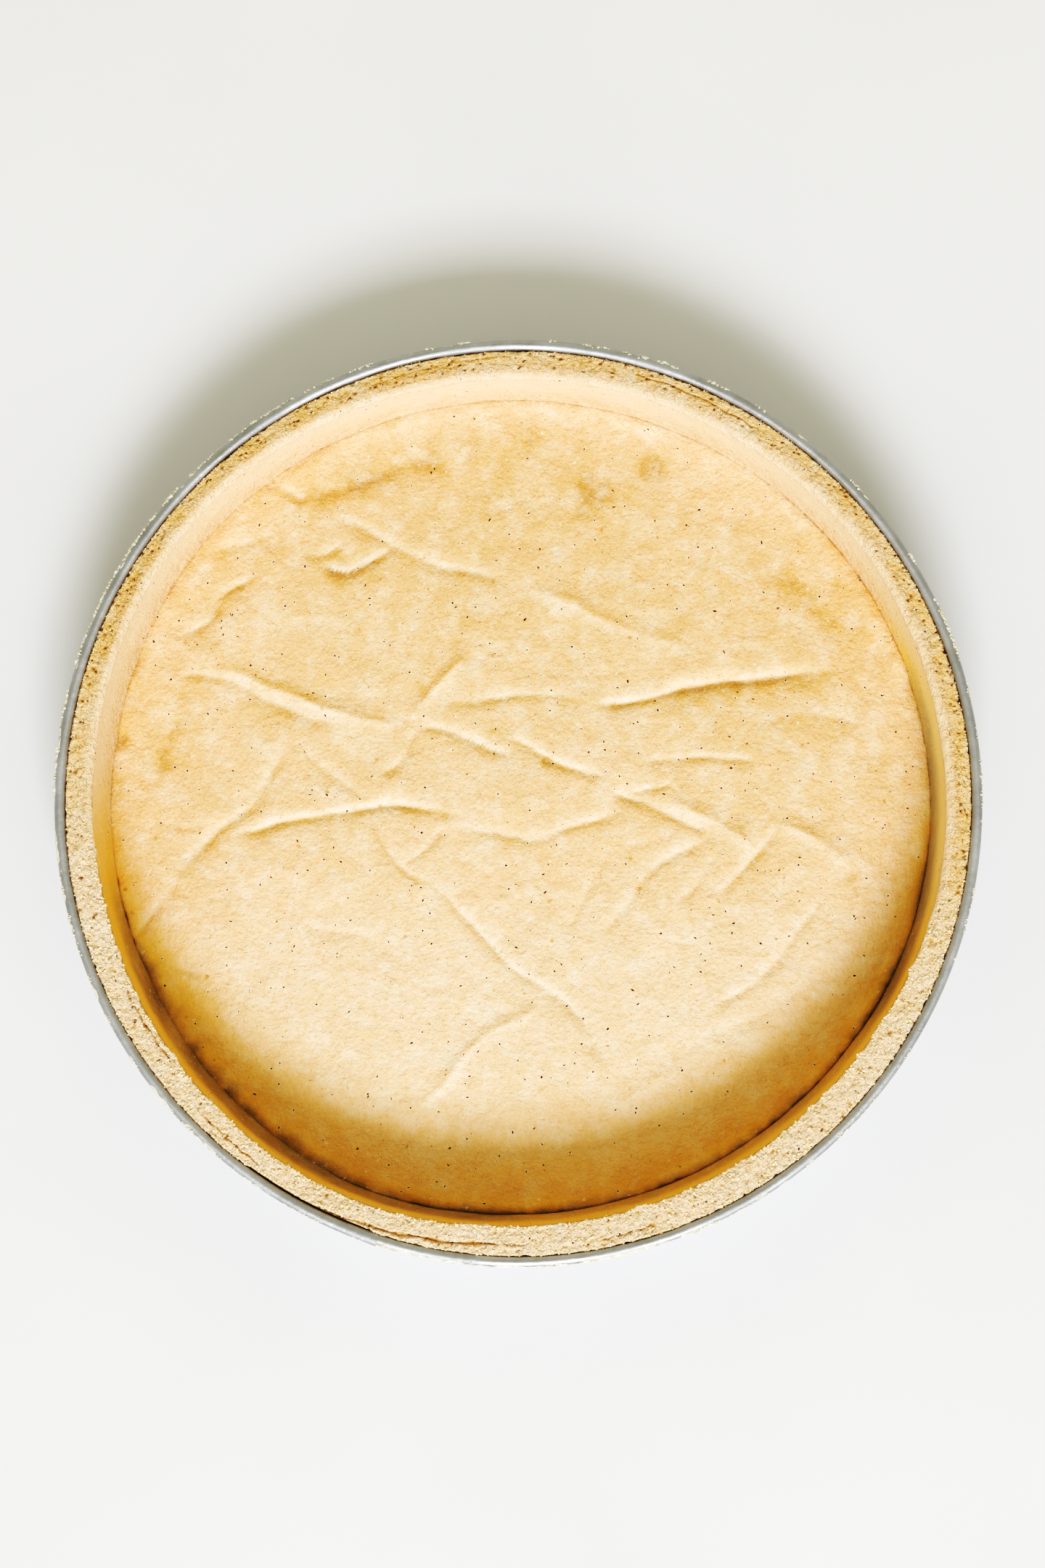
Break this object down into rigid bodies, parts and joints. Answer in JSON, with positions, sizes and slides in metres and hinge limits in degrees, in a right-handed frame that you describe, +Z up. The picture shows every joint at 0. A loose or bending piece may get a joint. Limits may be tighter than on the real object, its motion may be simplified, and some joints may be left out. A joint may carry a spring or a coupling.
{
  "type": "unfilled pie case in a round tin",
  "caption": "Unfilled shortcrust pie case, its cut rim flush with the plain round straight-sided tin that it lines.",
  "frame": {"origin": "centre of the tin's flat underside, on the surface that it stands on", "axes": "+Z up through the open top, -Y towards the side nearest the camera and the rim bead's lap joint"},
  "size_m": [0.2456, 0.2456, 0.032],
  "materials": {
    "tinned_steel": "satin, rubbed grey with a bright edge",
    "shortcrust": "matt, fine crumb with bran specks"
  },
  "bodies": {
    "root": {"tin": "tinned_steel", "pastry_case": "shortcrust"}
  },
  "joints": []
}
